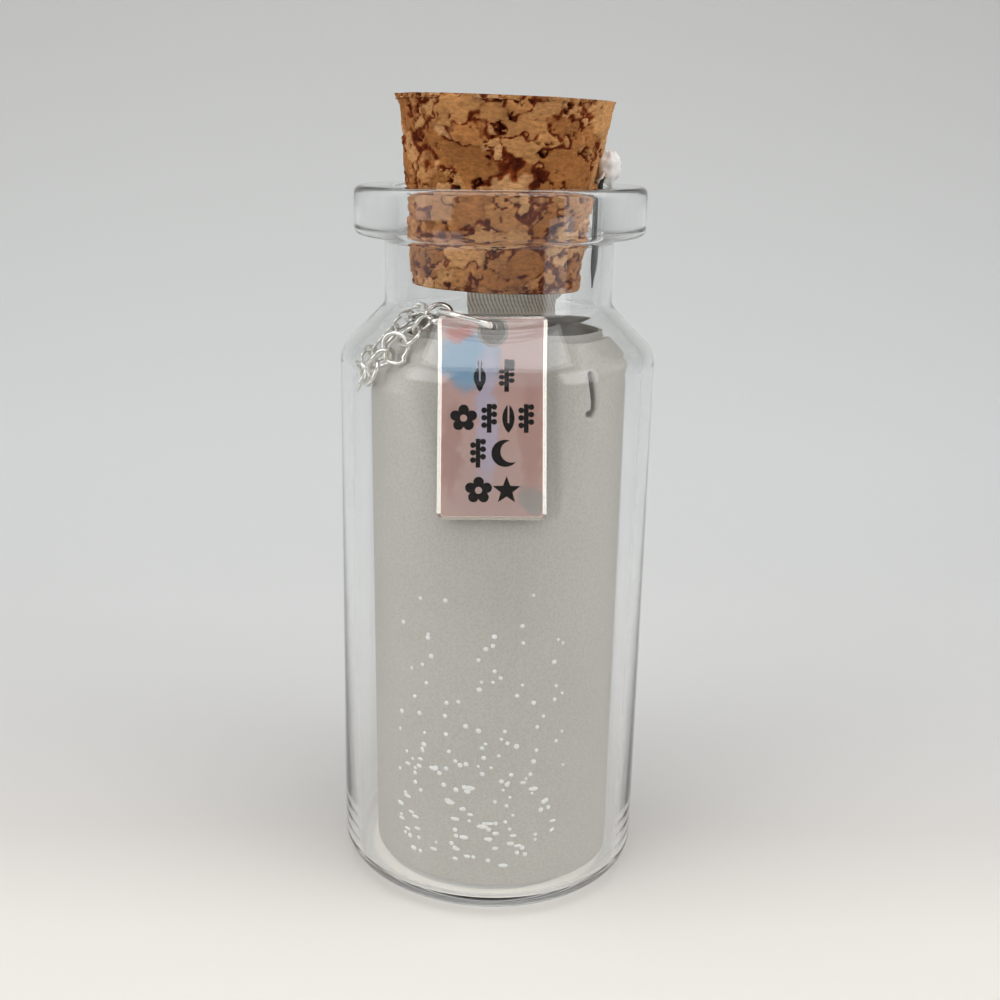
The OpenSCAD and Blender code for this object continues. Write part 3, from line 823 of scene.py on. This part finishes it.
def mirror_silver():
    """Sterling silver sheet, polished, with a painted reflection in rose, lilac and blue.

    The edges and the rim of the hole are bare silver, and the punched marks keep black patina."""
    material, tree, shader = blank("Sterling Silver With Painted Reflection", Metallic=1.0, Roughness=0.15)
    origin = Vector((TAG_X, TAG_Y, TAG_Z)) * MM
    place = add(tree, "TexCoord").outputs["Object"]
    from_foot = add(tree, "VectorMath", {1: -origin}, {0: place})
    # Turned so that X is across the tag, Y is up it and Z is out of its face
    flat = add(tree, "VectorRotate",
               {"Angle": math.radians(TAG_LEAN) - math.pi / 2},
               {"Vector": from_foot.outputs[0]}, rotation_type="X_AXIS").outputs[0]
    # Bare silver along the edges and round the hole, where the painted reflection stops
    wear_and_bare_rim = bare_silver_share(tree, flat)
    # The face's colour: the painted reflection, and plain silver where it stops
    bright = add(tree, "Mix", {7: (*linear("#bcb8b0"), 1)},
                 {0: wear_and_bare_rim, 6: painted_reflection_colour(tree, place, flat)}, data_type="RGBA")
    # The patina lies below the face, in the marks alone: not on the back, and not on the bare
    # rim
    depth = add(tree, "SeparateXYZ", links={0: flat}).outputs["Z"]
    clean = wear_and_bare_rim
    for start, end, value in ((-0.08, -0.02, 0.0), (-0.3, -0.2, 1.0)):
        part = add(tree, "MapRange", {
            "From Min": start * MM, "From Max": end * MM, "To Min": value,
            "To Max": 1.0 - value}, {0: depth})
        clean = add(tree, "Math", links={0: clean, 1: part.outputs[0]},
                    operation="MAXIMUM").outputs[0]
    patina = add(tree, "Mix", {6: (*linear("#1d1918"), 1)},
                 {0: clean, 7: bright.outputs[2]}, data_type="RGBA")
    tree.links.new(patina.outputs[2], shader.inputs["Base Color"])
    scuffs = add(tree, "TexNoise", {"Scale": 1 / (0.5 * MM), "Detail": 8.0,
                                    "Roughness": 0.75}, {"Vector": place})
    bump = add(tree, "Bump", {"Strength": 0.7, "Distance": 0.03 * MM},
               {"Height": scuffs.outputs["Fac"]})
    tree.links.new(bump.outputs[0], shader.inputs["Normal"])
    return material


class TagSettings(PropertyGroup):
    """Silver tag, ring and chain"""
    silver: FloatVectorProperty(
        name="Silver", description="Colour of the polished silver wire", subtype="COLOR",
        default=linear("#f1efea"), min=0, max=1)


class VIAL_OT_tag(Operator):
    """Finishes the silver tag"""
    bl_idname = "vial.tag"
    bl_label = "Silver Tag"

    def execute(self, context):
        refinish("tag", mirror_silver())
        return {"FINISHED"}


# The ring's turns are in degrees, first about X and then about Y
RING_MIDDLE, RING_TURN = (-2.146, -4.481, 41.216), (-10.4, 22.4)
RING_R, RING_WIRE = 1.9, 0.5
LINK_R, LINK_WIRE = 0.85, 0.3
LINK_POINTS = np.array([
    [-4.02, -3.87, 41.61], [-5.01, -4.15, 40.87], [-5.92, -4.46, 40.08],
    [-6.86, -4.37, 39.33], [-7.83, -4.17, 38.53], [-8.52, -3.57, 37.66],
    [-9.08, -2.5, 37.32], [-9.45, -1.41, 36.8], [-9.49, -0.17, 36.9],
    [-9.48, 1.05, 37.04], [-9.14, 1.97, 37.77], [-8.49, 2.75, 38.41],
    [-7.79, 2.56, 39.37], [-6.93, 2.68, 40.25], [-5.88, 2.69, 40.93],
    [-4.98, 1.88, 40.64], [-4, 1.52, 39.92]])
LINK_TURNS = [135, 38, 162, 106, 12, 119, 60, 113, 63, 115, 68, 136, 26, 147, 38, 161, 66]
CHAIN_LEN, COIL_R, COIL_PITCH, COIL_Z, LINK_STEP = 400.0, 4.6, 2.15, 2.5, 1.3
# Points in each turn of the coil, and the share of a turn that its length is cut to
COIL_STEPS, COIL_CUT = 36, 6
WAY_IN = [[-3.5, 1.3, 38.6], [-3.6, 1.1, 36], [-3.9, 0.8, 32]]
WAY_OUT = [[-1.1, 0.4, 3.9], [-1.1, 0.4, 16], [-1.1, 0.4, 26], [-1.5, -0.7, 31],
           [-1.9, -2, 36], [-2.2, -2.4, 38], [-2.4, -2.6, 39.3]]


def torus(radius, wire, around, sides):
    """Points and faces of a ring of round wire, flat on XY."""
    a = np.arange(around) * 2 * math.pi / around
    b = np.arange(sides) * 2 * math.pi / sides
    a, b = np.meshgrid(a, b, indexing="ij")
    r = radius + wire / 2 * np.cos(b)
    points = np.stack([r * np.cos(a), r * np.sin(a), wire / 2 * np.sin(b)], -1).reshape(-1, 3)
    return points, grid_faces(around, sides, True, True)


def ways(points):
    """Direction of a path at each of its points, from the one before to the one after."""
    last = len(points) - 1
    steps = [points[min(i + 1, last)] - points[max(i - 1, 0)] for i in range(last + 1)]
    return [step / np.linalg.norm(step) for step in steps]


def link_frames(points, turns):
    """Rotation of each link: along the chain, then turned about it."""
    return [np.array(Matrix.Rotation(math.atan2(way[1], way[0]), 3, "Z")
                     @ Matrix.Rotation(-math.asin(way[2]), 3, "Y")
                     @ Matrix.Rotation(math.radians(turn), 3, "X"))
            for way, turn in zip(ways(points), turns)]


def carried_frames(points):
    """Rotation of each link along a path, every other one turned a quarter."""
    frames, out = [], np.array([0.3, 1, 0.2])
    for i, way in enumerate(ways(points)):
        out = out - (out @ way) * way
        out = out / np.linalg.norm(out)
        turn = math.radians(45 if i % 2 else 135)
        across = math.cos(turn) * out + math.sin(turn) * np.cross(way, out)
        frames.append(np.stack([way, across, np.cross(way, across)], -1))
    return frames


def rings_piece(name, points, frames, material, around, sides):
    """One mesh of equal rings, each at its own place and turn."""
    ring, faces = torus(LINK_R, LINK_WIRE, around, sides)
    everything = np.concatenate([ring @ f.T + p for p, f in zip(points, frames)])
    count = len(ring)
    all_faces = [[v + i * count for v in f] for i in range(len(points)) for f in faces]
    return mesh_piece(name, everything, all_faces, material, "silver_chain")


def lengths_along(points):
    """Length of a path from its start to each of its points."""
    return np.r_[0, np.cumsum(np.linalg.norm(np.diff(points, axis=0), axis=1))]


def hidden_path():
    """Middle line of the chain in the roll: down the wall, coiled, and up the middle."""
    left = CHAIN_LEN - sum(lengths_along(way)[-1] for way in (LINK_POINTS, WAY_IN, WAY_OUT))
    turns = left / math.hypot(2 * math.pi * COIL_R, COIL_PITCH)
    t = np.arange(0, math.floor(turns * COIL_CUT) / COIL_CUT + 1e-6, 1 / COIL_STEPS)
    z = COIL_Z + COIL_PITCH * (turns - t)
    a = math.pi + 2 * math.pi * t
    middle = roll_middle(z)
    coil = np.c_[middle[:, 0] + COIL_R * np.cos(a), middle[:, 1] + COIL_R * np.sin(a), z]
    return np.vstack([WAY_IN, coil, WAY_OUT])


class VIAL_OT_chain(Operator):
    """Builds the jump ring, the links that show and the links coiled in the roll"""
    bl_idname = "vial.chain"
    bl_label = "Ring and Chain"

    def execute(self, context):
        silver = tumbled_silver(tuple(context.scene.vial_tag.silver))
        points, faces = torus(RING_R, RING_WIRE, 96, 20)
        turn = (Matrix.Rotation(math.radians(RING_TURN[1]), 3, "Y")
                @ Matrix.Rotation(math.radians(RING_TURN[0]), 3, "X"))
        ring = mesh_piece("silver_jump_ring", points @ np.array(turn).T + RING_MIDDLE, faces,
                          silver, "silver_chain")
        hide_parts("jump_ring")
        front = rings_piece("chain_links_front", LINK_POINTS,
                            link_frames(LINK_POINTS, LINK_TURNS), silver, 36, 12)
        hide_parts("chain_front")
        path = hidden_path()
        lengths = lengths_along(path)
        at = np.linspace(0, lengths[-1], round(lengths[-1] / LINK_STEP) + 1)
        middles = np.stack([np.interp(at, lengths, path[:, i]) for i in range(3)], -1)
        back = rings_piece("chain_links_back", middles, carried_frames(middles), silver, 20, 8)
        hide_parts("chain_back")
        refinish("clasp", silver)
        return {"FINISHED"}


# Stage

CAMERA_PLACE = (-4.889, -91.462, 53.497)
# Degrees that the camera looks down and rolls, and how far its frame is shifted
CAMERA_DOWN, CAMERA_ROLL, CAMERA_SHIFT = 15.819, 0.35, 0.07335
FLOOR_FRONT, CURVE_START, CURVE_R, WALL_TOP, SWEEP_HALF = -400, 60, 140, 700, 500


class StageSettings(PropertyGroup):
    """Camera, light and backdrop"""
    lens: FloatProperty(
        name="Lens", description="Focal length of the camera, in millimetres",
        default=46.846, min=10, max=200)
    key_watts: FloatProperty(
        name="Key Light", description="Power of the overhead soft box, in watts",
        default=0.36, min=0, max=10)


def background_paper():
    """Background paper, with painted shade: white in front, greyer towards the top, and a little
    darker just behind the vial, as a painted shadow.

    Nearer than the picture's edge it is painted dark, a painted shadow in front of the vial, so
    the glass mirrors less. Round the foot of the vial it glows a little: a painted pool of
    light, as where light comes down through the glass wall."""
    material, tree, shader = blank("Background Paper With Painted Shade", Roughness=0.9)
    place = add(tree, "TexCoord").outputs["Object"]
    parts = add(tree, "SeparateXYZ", links={0: place})
    back_and_up = add(tree, "Math", links={
        0: parts.outputs["Y"], 1: parts.outputs["Z"]}, operation="ADD").outputs[0]
    share = add(tree, "MapRange", {"From Min": -60 * MM, "From Max": 500 * MM},
                {0: back_and_up})
    # Painted shade: white in front, greyer towards the top, and a painted shadow just behind the
    # vial
    colour = add(tree, "ValToRGB", links={0: share.outputs[0]}, stops=(
        (0.0, "#f1ece6"), (0.085, "#eeeae4"), (0.11, "#dddad6"), (0.14, "#d9d8d6"),
        (0.2, "#dcdddc"), (0.3, "#dbdddd"), (0.62, "#cacbc9"), (1.0, "#b3b3b1")))
    # Painted shadow on the floor in front of the vial, so the glass mirrors less
    front_shadow = add(tree, "MapRange", {
        "From Min": -120 * MM, "From Max": -50 * MM, "To Min": 0.2, "To Max": 1.0},
        {0: back_and_up})
    with_front_shadow = add(tree, "Mix", {0: 1.0}, {6: colour.outputs[0], 7: front_shadow.outputs[0]},
                 **MULTIPLY)
    tree.links.new(with_front_shadow.outputs[2], shader.inputs["Base Color"])
    # Painted pool of light round the foot of the vial
    off_middle = add(tree, "VectorMath", links={0: place}, operation="LENGTH")
    glow = add(tree, "MapRange", {
        "From Min": 8.8 * MM, "From Max": 11.2 * MM, "To Min": 0.22, "To Max": 0.0},
        {0: off_middle.outputs["Value"]}, interpolation_type="SMOOTHSTEP")
    tree.links.new(glow.outputs[0], shader.inputs["Emission Strength"])
    shader.inputs["Emission Color"].default_value = (*linear("#fffcf7"), 1)
    return material


def sweep(material):
    """A paper sweep: a flat floor that curves up into the backdrop behind the vial."""
    wall = CURVE_START + CURVE_R
    profile = [(FLOOR_FRONT, 0), (CURVE_START, 0)]
    profile += [(CURVE_START + CURVE_R * math.sin(a), CURVE_R - CURVE_R * math.cos(a))
                for a in np.radians(np.linspace(6, 84, 14))]
    profile += [(wall, CURVE_R), (wall, WALL_TOP)]
    points = [(x, y, z) for y, z in profile for x in (-SWEEP_HALF, SWEEP_HALF)]
    mesh = bpy.data.meshes.new("paper_sweep")
    mesh.from_pydata((np.array(points) * MM).tolist(), [], grid_faces(len(profile), 2))
    for polygon in mesh.polygons:
        polygon.use_smooth = True
    mesh.materials.append(material)
    backdrop = bpy.data.objects.new("paper_sweep", mesh)
    bpy.context.scene.collection.objects.link(backdrop)


def pale_room():
    """A world whose grey goes by direction: dimmer in front of the vial than behind it."""
    world = bpy.data.worlds.new("room")
    world.use_nodes = True
    room = world.node_tree
    way = add(room, "TexCoord").outputs["Generated"]
    ahead = add(room, "SeparateXYZ", links={0: way})
    share = add(room, "MapRange", {"From Min": -1.0}, {0: ahead.outputs["Y"]})
    walls = add(room, "ValToRGB", links={0: share.outputs[0]}, stops=(
        (0.0, 0.47), (0.04, 0.47), (0.1, 0.33), (0.42, 0.64)))
    room.links.new(walls.outputs[0], room.nodes["Background"].inputs["Color"])
    return world


class VIAL_OT_stage(Operator):
    """Sets the camera, the soft lights and the backdrop"""
    bl_idname = "vial.stage"
    bl_label = "Stage"

    def execute(self, context):
        scene, settings = context.scene, context.scene.vial_stage
        camera = bpy.data.objects.new("camera", bpy.data.cameras.new("camera"))
        scene.collection.objects.link(camera)
        camera.data.lens = settings.lens
        camera.data.sensor_width = 36
        camera.data.shift_x = CAMERA_SHIFT
        camera.data.clip_start = 1 * MM
        camera.location = Vector(CAMERA_PLACE) * MM
        camera.rotation_euler = (
            Matrix.Rotation(math.radians(90 - CAMERA_DOWN), 3, "X")
            @ Matrix.Rotation(math.radians(CAMERA_ROLL), 3, "Z")).to_euler()
        scene.camera = camera
        sweep(background_paper())
        # Each soft box: name, place, what it aims at, width and height, and watts
        for name, place, aim, size, watts in (
                ("overhead", (-5, -40, 260), (0, 0, 20), (300, 200), settings.key_watts),
                ("window", (-220, -160, 120), (0, 0, 25), (160, 200), 0.16),
                ("fill", (200, -120, 90), (0, 0, 25), (120, 160), 0.11)):
            lamp = bpy.data.lights.new(name, "AREA")
            lamp.shape, lamp.size, lamp.size_y = "RECTANGLE", size[0] * MM, size[1] * MM
            lamp.energy = watts
            holder = bpy.data.objects.new(name, lamp)
            scene.collection.objects.link(holder)
            holder.location = Vector(place) * MM
            holder.rotation_euler = (Vector(aim) - Vector(place)).to_track_quat(
                "-Z", "Y").to_euler()
        scene.world = pale_room()
        scene.view_settings.view_transform = "Standard"
        scene.cycles.max_bounces = 20
        scene.cycles.transmission_bounces = 20
        scene.cycles.glossy_bounces = 8
        scene.cycles.transparent_max_bounces = 20
        scene.cycles.use_denoising = True
        return {"FINISHED"}


class VIAL_PT_pieces(Panel):
    """Lists the pieces of the vial"""
    bl_label = "Message Bottle"
    bl_idname = "VIAL_PT_pieces"
    bl_space_type = "VIEW_3D"
    bl_region_type = "UI"
    bl_category = "Vial"

    def draw(self, context):
        for operator, group in PIECES:
            box = self.layout.box()
            box.operator(operator.bl_idname)
            if group:
                settings = getattr(context.scene, group)
                for key in settings.bl_rna.properties.keys():
                    if key not in ("rna_type", "name"):
                        box.prop(settings, key)


GROUPS = {"vial_glass": VialGlassSettings, "vial_cork": CorkSettings,
          "vial_paper": PaperSettings, "vial_tape": TapeSettings, "vial_tag": TagSettings,
          "vial_stage": StageSettings}
PIECES = [(VIAL_OT_stage, "vial_stage"), (VIAL_OT_glass, "vial_glass"),
          (VIAL_OT_cork, "vial_cork"), (VIAL_OT_paper, "vial_paper"),
          (VIAL_OT_tape, "vial_tape"), (VIAL_OT_tag, "vial_tag"), (VIAL_OT_chain, None)]
CLASSES = [*GROUPS.values(), *(operator for operator, _ in PIECES), VIAL_PT_pieces]


def register():
    for cls in CLASSES:
        bpy.utils.register_class(cls)
    for key, cls in GROUPS.items():
        setattr(bpy.types.Scene, key, PointerProperty(type=cls))


def unregister():
    for key in GROUPS:
        delattr(bpy.types.Scene, key)
    for cls in reversed(CLASSES):
        bpy.utils.unregister_class(cls)


def main():
    for leftover in [o for o in bpy.data.objects
                     if o.type in ("CAMERA", "LIGHT") or o.name == "Cube"]:
        bpy.data.objects.remove(leftover)
    register()
    for operator, _ in PIECES:
        group, name = operator.bl_idname.split(".")
        getattr(getattr(bpy.ops, group), name)()
    bpy.context.view_layer.update()


if __name__ == "__main__":
    main()
